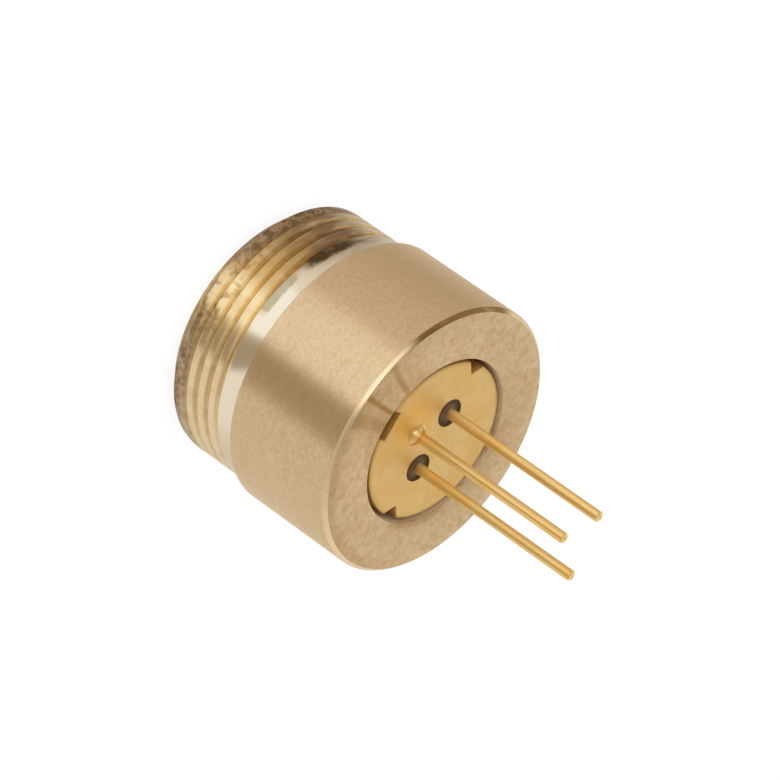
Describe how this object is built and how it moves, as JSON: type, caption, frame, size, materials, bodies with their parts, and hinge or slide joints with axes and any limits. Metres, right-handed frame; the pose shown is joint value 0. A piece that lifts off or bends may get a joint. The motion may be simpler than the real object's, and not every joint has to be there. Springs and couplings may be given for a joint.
{
  "type": "diode-pumped solid-state laser module",
  "caption": "Turned brass laser module with a threaded output end and a gold-plated header with straight leads, holding a pump diode, bonded crystals and a filter.",
  "frame": {"origin": "centre of the flat front (output) face, on which the module stands", "axes": "+Z along the housing axis from the front face to the leads, +X towards the anode lead, -Y towards the case lead"},
  "size_m": [0.0094, 0.0094, 0.0144],
  "materials": {
    "brass": "turned, satin",
    "gold_plate": "gold plated, satin",
    "lead_gold": "gold plated, bright",
    "copper": "bare copper",
    "seal_glass": "fused sealing glass",
    "submount_ceramic": "ground",
    "diode_chip": "polished semiconductor",
    "holder_brass": "turned",
    "gain_crystal": "polished",
    "doubling_crystal": "polished",
    "filter_glass": "polished, coated"
  },
  "bodies": {
    "root": {"housing": "brass", "header_base": "gold_plate", "heat_sink_post": "copper", "case_lead": "lead_gold", "cathode_lead": "lead_gold", "anode_lead": "lead_gold", "cathode_glass_seal": "seal_glass", "anode_glass_seal": "seal_glass", "diode_submount": "submount_ceramic", "pump_diode_chip": "diode_chip", "cathode_bond_wires": "lead_gold", "anode_bond_wires": "lead_gold", "crystal_holder": "holder_brass", "gain_crystal": "gain_crystal", "doubling_crystal": "doubling_crystal", "ir_filter": "filter_glass"}
  },
  "joints": []
}
